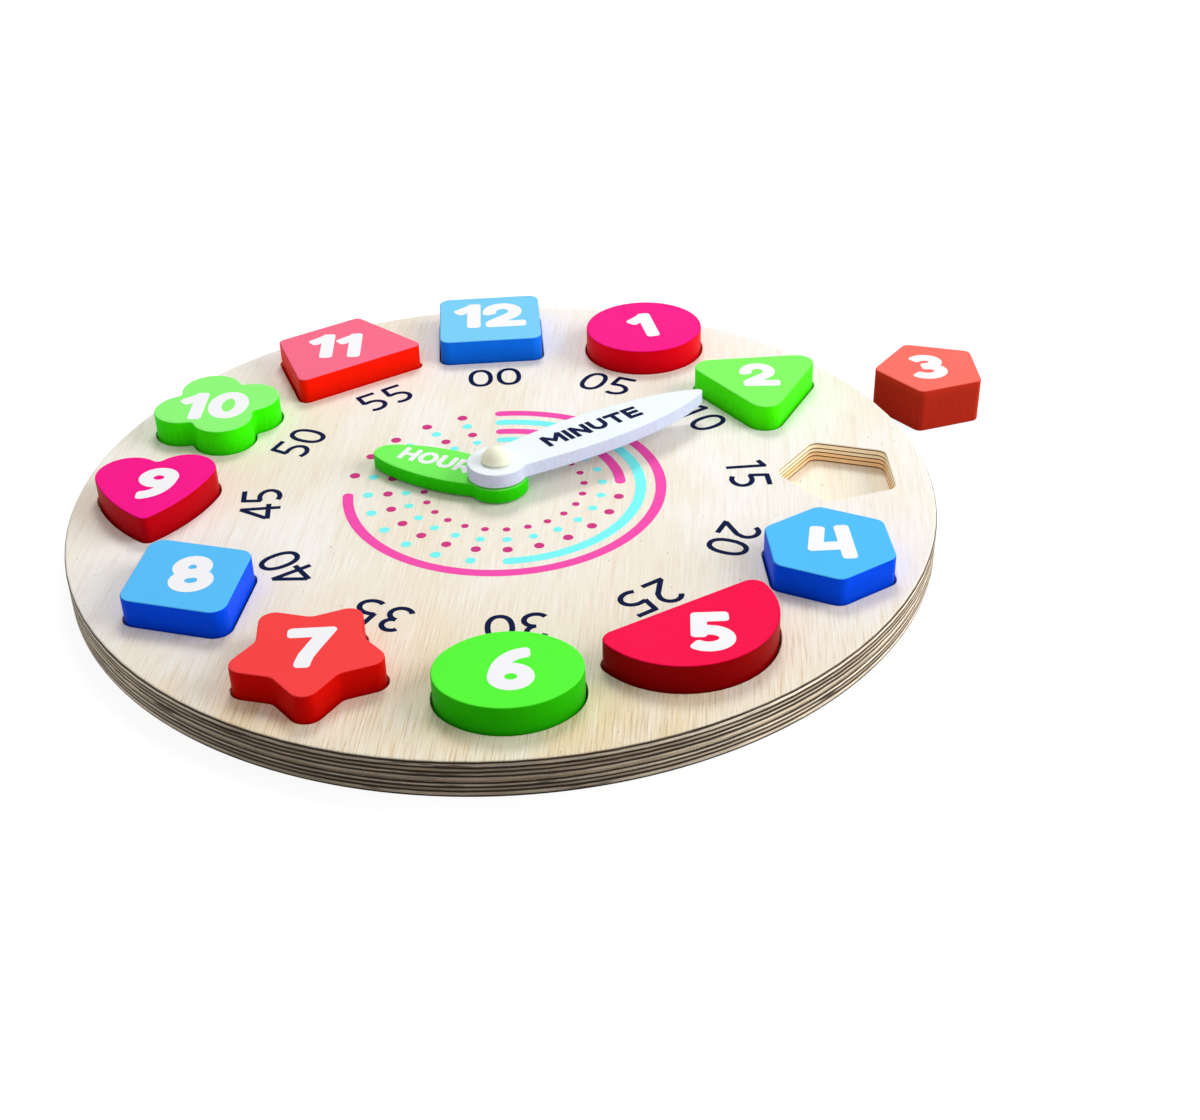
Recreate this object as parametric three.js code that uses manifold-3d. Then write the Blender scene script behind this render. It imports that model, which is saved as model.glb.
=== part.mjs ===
// A round wooden teaching clock that lies on a table, in millimetres, with +Z up.
// The origin is the centre of its underside and +Y points at twelve o'clock.
// Twelve number blocks, each of another shape, stand in recesses of their own outline.
// Two thick hands turn on a peg in the middle. Block three lies beside the board.
import * as THREE from "three";
import { mergeVertices } from "three/addons/utils/BufferGeometryUtils.js";
import Module from "manifold-3d";

// Board: a base sheet and a top sheet of plywood, glued face to face
const board_diameter = 300;
const base_thickness = 5.6;
const top_thickness = 7.4;
const rim_rounding = 1;
const rim_band = 5.4; // wood left between the round block's seat and the rim

// Blocks
const block_height = 16.8;
const block_edge = 0.6; // softened edge at the top and bottom of each block
const seat_clearance = 0.7; // air between a block and its recess, all round
const disc_diameter = 45.2;
const triangle_width = 53.8; // length of each side before rounding
const triangle_rounding = 6.2;
const pentagon_width = 42.5; // corner circle of the pentagon
const pentagon_rounding = 3;
const hexagon_width = 44.9; // from corner to corner
const hexagon_rounding = 4;
const half_disc_diameter = 59;
const half_disc_rounding = 4.7;
const half_disc_extra = 2.5; // how far the straight side lies past the centre
const oval_width = 45.4;
const oval_depth = 38.4;
const star_outer_diameter = 55.5; // circle through the five sharp points before rounding
const star_inner_diameter = 33.9; // circle through the five inner corners
const star_rounding = 4.8;
const rhombus_length = 55.6;
const rhombus_width = 48;
const rhombus_rounding = 5;
const heart_lobe_radius = 11.5;
const heart_lobe_spacing = 19.5;
const heart_lobe_height = 10.1; // of the lobe centres over the middle of the block
const heart_side_radius = 64.5;
const heart_tip_radius = 2.7;
const heart_tip_drop = 18.9; // of the tip's centre below the middle of the block
const clover_lobe_radius = 11.1;
const clover_lobe_offset = 12.4;
const notch_rounding = 2.2; // inner corners of the heart and the clover
const trapezoid_base = 53.8;
const trapezoid_top = 36;
const trapezoid_height = 37.6;
const trapezoid_rounding = 2.7;
const square_side = 40.2;
const square_rounding = 4;
const loose_gap = 8; // between the rim and the block that lies beside the board
const loose_bearing = 22; // degrees from three o'clock towards twelve

// Hands and the peg that they turn on
const hand_thickness = 5.2;
const hand_edge = 0.5; // softened edge
const hub_diameter = 21.2;
const minute_tip_gap = 9.9; // from the tip to the nearest seat
const minute_width = 21.2;
const minute_neck_width = 16.8;
const minute_tip_width = 5;
const hour_reach = 49.5;
const hour_width = 20.6;
const hour_neck_width = 18;
const hour_tip_width = 8.4;
const minute_bearing = 60; // degrees clockwise from twelve
const hour_bearing = 299;
const shank_diameter = 8;
const shank_clearance = 0.3; // between the shank and every bore that it passes
const run_clearance = 0.2; // above and below each hand
const washer_diameter = 15;
const washer_thickness = 0.4;
const socket_depth = 3; // of the shank's blind socket in the base sheet
const head_diameter = 11.2;
const head_rim = 0.8;
const head_rise = 4;

// How finely curves are faceted, and how far cutters run past a face
const facet_depth = 0.05;
const cut_overrun = 1;
const rim_segments = 96;
const round_segments = 32;
const edge_steps = 2; // across the softened edge of a block or a hand
const rim_steps = 3; // across the rounded edge of the board
const dome_steps = 8; // from the rim of the peg's head to its crown

// Worked out from the sizes above
const board_radius = board_diameter / 2;
const board_top = base_thickness + top_thickness;
const disc_radius = disc_diameter / 2;
const seat_ring_radius = board_radius - rim_band - seat_clearance - disc_radius;
const minute_reach = seat_ring_radius - disc_radius - seat_clearance - minute_tip_gap;
const hub_radius = hub_diameter / 2;
const shank_radius = shank_diameter / 2;
const bore_radius = shank_radius + shank_clearance;
const hand_pitch = hand_thickness + washer_thickness + 2 * run_clearance;
const hour_floor = board_top + washer_thickness + run_clearance;
const minute_floor = hour_floor + hand_pitch;
const head_floor = minute_floor + hand_thickness + run_clearance;

const full_turn = 2 * Math.PI;
const quarter_turn = Math.PI / 2;
const radians = THREE.MathUtils.degToRad;
const origin = new THREE.Vector2();

const wasm = await Module();
wasm.setup();

// Outlines are closed chains of arcs with straight lines between them. An arc that turns
// left is an outer corner, and one that turns right is an inner corner. Growing an outline
// widens its outer arcs and tightens its inner arcs, so a recess keeps the same gap all round.

function arc(x, y, radius, start, sweep) {
  return { x, y, radius, start, sweep };
}

function outlinePoints(arcs, grow) {
  const points = [];
  for (const { x, y, radius, start, sweep } of arcs) {
    const grown = radius + grow * Math.sign(sweep);
    const step = 2 * Math.acos(1 - facet_depth / Math.max(grown, 2 * facet_depth));
    const count = Math.max(2, Math.ceil(Math.abs(sweep) / step));
    const last = Math.abs(sweep) < full_turn ? count : count - 1;
    for (let i = 0; i <= last; i += 1) {
      const angle = start + (sweep * i) / count;
      points.push(new THREE.Vector2(x + grown * Math.cos(angle), y + grown * Math.sin(angle)));
    }
  }
  return points;
}

// Turns corner points, listed anticlockwise, into arcs that touch both sides of each corner
function roundedCorners(corners, rounding) {
  return corners.map((corner, i) => {
    const before = corners[(i + corners.length - 1) % corners.length];
    const after = corners[(i + 1) % corners.length];
    const arriving = corner.clone().sub(before).normalize();
    const leaving = after.clone().sub(corner).normalize();
    const sweep = Math.atan2(arriving.cross(leaving), arriving.dot(leaving));
    const side = Math.sign(sweep);
    const setback = rounding * Math.tan(Math.abs(sweep) / 2);
    const centre = corner.clone().addScaledVector(arriving, -setback);
    centre.addScaledVector(new THREE.Vector2(-arriving.y, arriving.x), side * rounding);
    const start = arriving.angle() - side * quarter_turn;
    return arc(centre.x, centre.y, rounding, start, sweep);
  });
}

// Corner points on one circle, or turn by turn on several, starting straight up
function cornerRing(count, ...radii) {
  return Array.from({ length: count }, (_, i) => {
    const angle = quarter_turn + (full_turn * i) / count;
    const radius = radii[i % radii.length];
    return new THREE.Vector2(radius * Math.cos(angle), radius * Math.sin(angle));
  });
}

function cornerPairs(pairs) {
  return pairs.map(([x, y]) => new THREE.Vector2(x, y));
}

function disc() {
  return [arc(0, 0, disc_radius, 0, full_turn)];
}

// Flat side up, with one corner down
function triangle() {
  const circle = triangle_width / Math.sqrt(3);
  const corners = cornerRing(3, circle).map((corner) => corner.negate());
  return roundedCorners(corners, triangle_rounding);
}

function pentagon() {
  return roundedCorners(cornerRing(5, pentagon_width / 2), pentagon_rounding);
}

function hexagon() {
  return roundedCorners(cornerRing(6, hexagon_width / 2), hexagon_rounding);
}

// Straight side up
function halfDisc() {
  const radius = half_disc_diameter / 2;
  const corner_y = half_disc_extra - half_disc_rounding;
  const corner_x = Math.sqrt((radius - half_disc_rounding) ** 2 - corner_y ** 2);
  const right = Math.atan2(corner_y, corner_x);
  const left = Math.PI - right;
  return [
    arc(corner_x, corner_y, half_disc_rounding, right, quarter_turn - right),
    arc(-corner_x, corner_y, half_disc_rounding, quarter_turn, left - quarter_turn),
    arc(0, 0, radius, left, full_turn - left + right),
  ];
}

// Two tight arcs at the ends of the long way, joined by two wide ones
function oval() {
  const long = Math.max(oval_width, oval_depth) / 2;
  const short = Math.min(oval_width, oval_depth) / 2;
  const turn = oval_depth > oval_width ? quarter_turn : 0;
  const end_radius = short * oval_end_share;
  const end = long - end_radius;
  const slack = short - end_radius;
  const wide = (end ** 2 - slack ** 2) / (2 * slack);
  const meet = Math.atan2(wide, end);
  return [0, 1].flatMap((half) => {
    const facing = turn + half * Math.PI;
    const tight_centre = new THREE.Vector2(end, 0).rotateAround(origin, facing);
    const wide_centre = new THREE.Vector2(0, -wide).rotateAround(origin, facing);
    return [
      arc(tight_centre.x, tight_centre.y, end_radius, facing - meet, 2 * meet),
      arc(wide_centre.x, wide_centre.y, short + wide, facing + meet, Math.PI - 2 * meet),
    ];
  });
}

// One point down
function star() {
  const corners = cornerRing(10, star_outer_diameter / 2, star_inner_diameter / 2);
  return roundedCorners(corners.map((corner) => corner.negate()), star_rounding);
}

// Long way up
function rhombus() {
  const corners = cornerPairs([
    [rhombus_width / 2, 0],
    [0, rhombus_length / 2],
    [-rhombus_width / 2, 0],
    [0, -rhombus_length / 2],
  ]);
  return roundedCorners(corners, rhombus_rounding);
}

// Two round lobes, two wide sides that touch them, a small round tip and a soft notch
function heart() {
  const lobe_x = heart_lobe_spacing / 2;
  const across = new THREE.Vector2(lobe_x, heart_lobe_height + heart_tip_drop);
  const to_lobe = heart_side_radius - heart_lobe_radius;
  const to_tip = heart_side_radius - heart_tip_radius;
  const along = (to_tip ** 2 - to_lobe ** 2 + across.lengthSq()) / (2 * across.length());
  const aside = Math.sqrt(to_tip ** 2 - along ** 2);
  const unit = across.clone().normalize();
  const side_x = unit.x * along - unit.y * aside;
  const side_y = unit.y * along + unit.x * aside - heart_tip_drop;
  const tip_angle = Math.atan2(-heart_tip_drop - side_y, -side_x);
  const lobe_angle = Math.atan2(heart_lobe_height - side_y, lobe_x - side_x);
  const notch_rise = Math.sqrt((heart_lobe_radius + notch_rounding) ** 2 - lobe_x ** 2);
  const notch_angle = Math.atan2(notch_rise, -lobe_x);
  const notch_y = heart_lobe_height + notch_rise;
  return [
    arc(0, -heart_tip_drop, heart_tip_radius, Math.PI - tip_angle - full_turn, 2 * tip_angle + Math.PI),
    arc(side_x, side_y, heart_side_radius, tip_angle, lobe_angle - tip_angle),
    arc(lobe_x, heart_lobe_height, heart_lobe_radius, lobe_angle, notch_angle - lobe_angle),
    arc(0, notch_y, notch_rounding, notch_angle - Math.PI, Math.PI - 2 * notch_angle),
    arc(-lobe_x, heart_lobe_height, heart_lobe_radius, Math.PI - notch_angle, notch_angle - lobe_angle),
    arc(-side_x, side_y, heart_side_radius, Math.PI - lobe_angle, lobe_angle - tip_angle),
  ];
}

// Four lobes up, left, down and right, with a soft notch between each two
function clover() {
  const diagonal = clover_lobe_offset / Math.SQRT2;
  const reach = diagonal + Math.sqrt((clover_lobe_radius + notch_rounding) ** 2 - diagonal ** 2);
  const notch = reach / Math.SQRT2;
  const tangent = Math.atan2(notch, notch - clover_lobe_offset);
  return [0, 1, 2, 3].flatMap((quarter) => {
    const turn = quarter * quarter_turn;
    const lobe = new THREE.Vector2(clover_lobe_offset, 0).rotateAround(origin, turn);
    const dip = new THREE.Vector2(notch, notch).rotateAround(origin, turn);
    return [
      arc(lobe.x, lobe.y, clover_lobe_radius, turn - tangent, 2 * tangent),
      arc(dip.x, dip.y, notch_rounding, turn + tangent - Math.PI, 3 * quarter_turn - 2 * tangent - Math.PI),
    ];
  });
}

// Short side up
function trapezoid() {
  const corners = cornerPairs([
    [trapezoid_base / 2, -trapezoid_height / 2],
    [trapezoid_top / 2, trapezoid_height / 2],
    [-trapezoid_top / 2, trapezoid_height / 2],
    [-trapezoid_base / 2, -trapezoid_height / 2],
  ]);
  return roundedCorners(corners, trapezoid_rounding);
}

function square() {
  const half = square_side / 2;
  const corners = cornerPairs([
    [half, -half],
    [half, half],
    [-half, half],
    [-half, -half],
  ]);
  return roundedCorners(corners, square_rounding);
}

// Finishes
const bare_roughness = 0.6;
const paint_roughness = 0.45;
const magenta = "#e8127a";
const crimson = "#e0063f";
const green = "#46e022";
const orange_red = "#f04030";
const blue = "#3f9fe8";
const wood = "#ead9be";
const white = "#f1f4f6";
const cream = "#f4efd2";

// One row per block: its number, outline, turn in degrees anticlockwise, the distance of
// its seat from the middle of the clock as a share of the seat ring, and its colour
const block_rows = [
  { number: 1, outline: disc, turn: 0, reach_share: 1, colour: magenta },
  { number: 2, outline: triangle, turn: 0, reach_share: 0.942, colour: green },
  { number: 3, outline: pentagon, turn: 87, reach_share: 0.985, colour: orange_red },
  { number: 4, outline: hexagon, turn: 0, reach_share: 0.997, colour: blue },
  { number: 5, outline: halfDisc, turn: 28, reach_share: 0.891, colour: crimson },
  { number: 6, outline: oval, turn: 0, reach_share: 0.98, colour: green },
  { number: 7, outline: star, turn: 0, reach_share: 0.98, colour: orange_red },
  { number: 8, outline: rhombus, turn: 30, reach_share: 0.962, colour: blue },
  { number: 9, outline: heart, turn: 0, reach_share: 0.99, colour: magenta },
  { number: 10, outline: clover, turn: 15, reach_share: 0.987, colour: green },
  { number: 11, outline: trapezoid, turn: 30, reach_share: 0.981, colour: orange_red },
  { number: 12, outline: square, turn: 0, reach_share: 0.991, colour: blue },
];
const loose_number = 3;

// How tight the oval's ends are, as a share of half its short way
const oval_end_share = 0.85;

// Blade shares: where a blade is widest along its reach, and how far the two handles of
// each edge curve reach, so that the edge swells from the neck and runs in to the tip
const minute_swell_share = 0.43;
const hour_swell_share = 0.4;
const blade_handle_share = 0.4;
const blade_tip_handle_share = 0.8;
const blade_tip_fullness_share = 0.6;
const blade_tip_share = 0.965;
const blade_curve_steps = 10;

function finish(colour, roughness) {
  return new THREE.MeshStandardMaterial({ color: colour, roughness, metalness: 0 });
}

function mesh(name, geometry, material) {
  const made = new THREE.Mesh(geometry, material);
  made.name = name;
  return made;
}

// Leaves only shared positions, without the flat triangles that a revolve has on its axis
function welded(geometry) {
  const bare = geometry.clone();
  bare.deleteAttribute("normal");
  bare.deleteAttribute("uv");
  const merged = mergeVertices(bare);
  const kept = [];
  const index = merged.index.array;
  for (let i = 0; i < index.length; i += 3) {
    const [a, b, c] = index.subarray(i, i + 3);
    if (a !== b && b !== c && c !== a) kept.push(a, b, c);
  }
  merged.setIndex(kept);
  return merged;
}

function toSolid(geometry) {
  const flat = welded(geometry);
  const vertProperties = new Float32Array(flat.attributes.position.array);
  const triVerts = new Uint32Array(flat.index.array);
  return new wasm.Manifold(new wasm.Mesh({ numProp: 3, vertProperties, triVerts }));
}

function toGeometry(solid) {
  const { vertProperties, triVerts } = solid.getMesh();
  const geometry = new THREE.BufferGeometry();
  geometry.setAttribute("position", new THREE.BufferAttribute(vertProperties, 3));
  geometry.setIndex(new THREE.BufferAttribute(triVerts, 1));
  geometry.computeVertexNormals();
  return geometry;
}

// Revolves a profile of [radius, height] pairs about the vertical axis
function revolved(profile, segments) {
  const points = profile.map(([radius, height]) => new THREE.Vector2(radius, height));
  return welded(new THREE.LatheGeometry(points, segments).rotateX(quarter_turn));
}

function quarterRound(radius, height, rounding, start) {
  return Array.from({ length: rim_steps + 1 }, (_, i) => {
    const angle = start + (quarter_turn * i) / rim_steps;
    return [radius + rounding * Math.cos(angle), height + rounding * Math.sin(angle)];
  });
}

function baseBoard() {
  const socket_floor = base_thickness - socket_depth;
  const profile = [
    [0, 0],
    ...quarterRound(board_radius - rim_rounding, rim_rounding, rim_rounding, -quarter_turn),
    [board_radius, base_thickness],
    [bore_radius, base_thickness],
    [bore_radius, socket_floor],
    [0, socket_floor],
  ];
  return mesh("base_board", revolved(profile, rim_segments), finish(wood, bare_roughness));
}

function seatAngle(number) {
  return quarter_turn - (full_turn * number) / block_rows.length;
}

function seatCutter({ number, outline, turn, reach_share }) {
  const shape = new THREE.Shape(outlinePoints(outline(), seat_clearance));
  const depth = top_thickness + 2 * cut_overrun;
  const geometry = new THREE.ExtrudeGeometry(shape, { depth, bevelEnabled: false });
  const reach = seat_ring_radius * reach_share;
  const angle = seatAngle(number);
  geometry.rotateZ(radians(turn));
  geometry.translate(reach * Math.cos(angle), reach * Math.sin(angle), base_thickness - cut_overrun);
  return toSolid(geometry);
}

function topBoard() {
  const profile = [
    [0, base_thickness],
    [board_radius, base_thickness],
    ...quarterRound(board_radius - rim_rounding, board_top - rim_rounding, rim_rounding, 0),
    [0, board_top],
  ];
  const bore = [
    [0, base_thickness - cut_overrun],
    [bore_radius, base_thickness - cut_overrun],
    [bore_radius, board_top + cut_overrun],
    [0, board_top + cut_overrun],
  ];
  let sheet = toSolid(revolved(profile, rim_segments));
  for (const row of block_rows) sheet = sheet.subtract(seatCutter(row));
  sheet = sheet.subtract(toSolid(revolved(bore, round_segments)));
  return mesh("top_board", toGeometry(sheet), finish(wood, bare_roughness));
}

function numberBlock({ number, outline, turn, reach_share, colour }) {
  const shape = new THREE.Shape(outlinePoints(outline(), 0));
  const geometry = new THREE.ExtrudeGeometry(shape, {
    depth: block_height - 2 * block_edge,
    bevelThickness: block_edge,
    bevelSize: block_edge,
    bevelOffset: -block_edge,
    bevelSegments: edge_steps,
  });
  geometry.translate(0, 0, block_edge);
  const block = mesh(`number_block_${number}`, welded(geometry), finish(colour, paint_roughness));
  const angle = seatAngle(number);
  const reach = seat_ring_radius * reach_share;
  block.rotation.z = radians(turn);
  block.position.set(reach * Math.cos(angle), reach * Math.sin(angle), base_thickness);
  if (number === loose_number) {
    const beside = board_radius + loose_gap + pentagon_width / 2;
    const bearing = radians(loose_bearing);
    block.position.set(beside * Math.cos(bearing), beside * Math.sin(bearing), 0);
  }
  return block;
}

// A hand that points along +X: a round hub and a leaf-shaped blade with a soft tip
function handOutline({ reach, width, neck_width, tip_width, swell_share }) {
  const neck = neck_width / 2;
  const belly = width / 2;
  const tip = tip_width / 2;
  const neck_x = Math.sqrt(hub_radius ** 2 - neck ** 2);
  const swell_x = reach * swell_share;
  const tip_x = reach * blade_tip_share;
  const lead = (swell_x - neck_x) * blade_handle_share;
  const run = tip_x - swell_x;
  const near_x = swell_x + run * blade_handle_share;
  const far_x = swell_x + run * blade_tip_handle_share;
  const far_y = tip + (belly - tip) * blade_tip_fullness_share;
  const neck_angle = Math.atan2(neck, neck_x);
  const shape = new THREE.Shape();
  shape.absarc(0, 0, hub_radius, neck_angle, full_turn - neck_angle, false);
  shape.bezierCurveTo(neck_x + lead, -(neck + belly) / 2, swell_x - lead, -belly, swell_x, -belly);
  shape.bezierCurveTo(near_x, -belly, far_x, -far_y, tip_x, -tip);
  shape.quadraticCurveTo(reach, -tip / 2, reach, 0);
  shape.quadraticCurveTo(reach, tip / 2, tip_x, tip);
  shape.bezierCurveTo(far_x, far_y, near_x, belly, swell_x, belly);
  shape.bezierCurveTo(swell_x - lead, belly, neck_x + lead, (neck + belly) / 2, neck_x, neck);
  const bore = new THREE.Path();
  bore.absarc(0, 0, bore_radius, 0, full_turn, true);
  shape.holes.push(bore);
  return shape;
}

function hand(name, sizes, colour) {
  const geometry = new THREE.ExtrudeGeometry(handOutline(sizes), {
    depth: hand_thickness - 2 * hand_edge,
    bevelThickness: hand_edge,
    bevelSize: hand_edge,
    bevelOffset: -hand_edge,
    bevelSegments: edge_steps,
    curveSegments: blade_curve_steps,
  });
  geometry.translate(0, 0, hand_edge);
  const made = mesh(name, welded(geometry), finish(colour, paint_roughness));
  made.rotation.z = quarter_turn - radians(sizes.bearing);
  made.position.z = sizes.floor;
  return made;
}

function washer(name, floor) {
  const outer = washer_diameter / 2;
  const profile = [
    [bore_radius, 0],
    [outer, 0],
    [outer, washer_thickness],
    [bore_radius, washer_thickness],
    [bore_radius, 0],
  ];
  const made = mesh(name, revolved(profile, round_segments), finish(wood, bare_roughness));
  made.position.z = floor;
  return made;
}

// A turned peg: a straight shank that stands in its socket, under a domed head
function pivotPeg() {
  const foot = base_thickness - socket_depth;
  const head_radius = head_diameter / 2;
  const dome_floor = head_floor + head_rim;
  const dome = Array.from({ length: dome_steps }, (_, i) => {
    const angle = (quarter_turn * i) / dome_steps;
    return [head_radius * Math.cos(angle), dome_floor + head_rise * Math.sin(angle)];
  });
  const profile = [
    [0, foot],
    [shank_radius, foot],
    [shank_radius, head_floor],
    [head_radius, head_floor],
    ...dome,
    [0, dome_floor + head_rise],
  ];
  return mesh("pivot_peg", revolved(profile, round_segments), finish(cream, paint_roughness));
}

const board = new THREE.Group();
board.name = "board";
board.add(baseBoard(), topBoard());

const blocks = new THREE.Group();
blocks.name = "blocks";
blocks.add(...block_rows.map(numberBlock));

const minute_sizes = {
  reach: minute_reach,
  width: minute_width,
  neck_width: minute_neck_width,
  tip_width: minute_tip_width,
  swell_share: minute_swell_share,
  bearing: minute_bearing,
  floor: minute_floor,
};
const hour_sizes = {
  reach: hour_reach,
  width: hour_width,
  neck_width: hour_neck_width,
  tip_width: hour_tip_width,
  swell_share: hour_swell_share,
  bearing: hour_bearing,
  floor: hour_floor,
};
const dial = new THREE.Group();
dial.name = "dial";
dial.add(
  washer("lower_washer", board_top),
  hand("hour_hand", hour_sizes, green),
  washer("upper_washer", hour_floor + hand_thickness + run_clearance),
  hand("minute_hand", minute_sizes, white),
  pivotPeg(),
);

const clock = new THREE.Group();
clock.name = "teaching_clock";
clock.add(board, blocks, dial);

export default clock;
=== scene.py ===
# %% [markdown]
# # A wooden teaching clock
# This lesson dresses a round wooden clock for a classroom. Its solids are already made: a board of two
# glued plywood sheets, twelve painted number blocks in recesses of their own outline, and two thick
# hands on a peg. What is left for Blender is what the eye sees: soft painted edges, the plies at the
# rim, the printed rings and numerals, and a quiet studio. Lengths are given in millimetres here and
# turned to metres once, in `mm`.

from math import atan2, ceil, copysign, cos, degrees, hypot, pi, radians, sin

import bmesh
import bpy
from mathutils import Euler, Matrix, Vector
from mathutils.geometry import convex_hull_2d, delaunay_2d_cdt


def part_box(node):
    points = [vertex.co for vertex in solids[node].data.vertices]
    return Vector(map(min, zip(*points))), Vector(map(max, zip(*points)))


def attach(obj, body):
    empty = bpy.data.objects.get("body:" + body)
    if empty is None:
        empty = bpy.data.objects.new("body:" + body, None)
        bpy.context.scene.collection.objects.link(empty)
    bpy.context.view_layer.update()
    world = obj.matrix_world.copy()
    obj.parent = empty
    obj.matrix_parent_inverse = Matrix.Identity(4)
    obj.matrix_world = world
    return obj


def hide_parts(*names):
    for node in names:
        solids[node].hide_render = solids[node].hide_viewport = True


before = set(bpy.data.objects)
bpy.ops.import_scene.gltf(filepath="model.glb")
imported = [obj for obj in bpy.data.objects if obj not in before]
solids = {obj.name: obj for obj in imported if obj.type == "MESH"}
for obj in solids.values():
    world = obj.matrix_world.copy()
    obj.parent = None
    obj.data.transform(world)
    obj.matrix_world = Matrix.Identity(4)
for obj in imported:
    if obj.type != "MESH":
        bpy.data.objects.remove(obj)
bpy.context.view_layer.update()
mm = 0.001

# %% [markdown]
# ## Camera
# The clock was photographed from the front, a little over half a metre away and looking down by 35
# degrees, with the camera held about three degrees out of level. A long-ish lens keeps the round board
# from looking stretched. The picture was cropped off centre, which a small shift of the lens repeats.

# %% Camera
picture_width, picture_height = 1200, 1120
eye = Vector((0.00235, -0.53629, 0.32723))
heading, looking_down, roll = radians(0.184), radians(34.923), radians(-3.157)

focal_length, sensor_width, nearest = 53.113, 36, 0.01
axis_x, axis_y = 518.0, 630.0  # the pixel that the lens points at

lens = bpy.data.cameras.new("camera")
lens.sensor_width = sensor_width
lens.lens = focal_length
lens.shift_x = (picture_width / 2 - axis_x) / picture_width
lens.shift_y = (axis_y - picture_height / 2) / picture_width
lens.clip_start = nearest
camera = bpy.data.objects.new("camera", lens)
aim = Euler((pi / 2 - looking_down, 0, -heading)).to_matrix() @ Matrix.Rotation(roll, 3, "Z")
camera.matrix_world = Matrix.Translation(eye) @ aim.to_4x4()
bpy.context.collection.objects.link(camera)
bpy.context.scene.camera = camera
print("camera at", tuple(eye), "shift", round(lens.shift_x, 4), round(lens.shift_y, 4))

# %% [markdown]
# ## Shader maths that reads like maths
# A material is a small sum: so much streak, so much patch, a darker line where two plies meet. Written
# as nodes one by one, such a sum is hard to read. `Wire` wraps one output of a node, and `+`, `-`, `*`
# and `/` on it add the Math node for you, also when a plain number stands first, as in `1 - mask`.
# `Finish` holds a material, and its `node` makes any other node: settings first, because they can
# change which sockets there are.

# %% Wires
class Wire:
    """One output of a node, on which sums can be written."""

    def __init__(self, socket):
        self.socket = socket

    def sum(self, operation, first, second=0.0):
        """A Math node with one or two inputs."""
        made = self.socket.id_data.nodes.new("ShaderNodeMath")
        made.operation = operation
        plug(made.inputs[0], first)
        plug(made.inputs[1], second)
        return Wire(made.outputs[0])

    def __add__(self, other): return self.sum("ADD", self, other)
    def __radd__(self, other): return self.sum("ADD", other, self)
    def __sub__(self, other): return self.sum("SUBTRACT", self, other)
    def __rsub__(self, other): return self.sum("SUBTRACT", other, self)
    def __mul__(self, other): return self.sum("MULTIPLY", self, other)
    def __rmul__(self, other): return self.sum("MULTIPLY", other, self)
    def __truediv__(self, other): return self.sum("DIVIDE", self, other)
    def __rtruediv__(self, other): return self.sum("DIVIDE", other, self)
    def __abs__(self): return self.sum("ABSOLUTE", self)
    def lower_of(self, other): return self.sum("MINIMUM", self, other)
    def higher_of(self, other): return self.sum("MAXIMUM", self, other)


def plug(socket, value):
    """Gives a socket a link or a value."""
    if isinstance(value, Wire):
        socket.id_data.links.new(value.socket, socket)
    else:
        socket.default_value = value


def shade(red, green, blue):
    """A colour picked from a screen, 0 to 255, as the linear colour that a shader works in."""
    parts = (red / 255, green / 255, blue / 255)
    linear = [c / 12.92 if c <= 0.04045 else ((c + 0.055) / 1.055) ** 2.4 for c in parts]
    return (*linear, 1.0)


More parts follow.
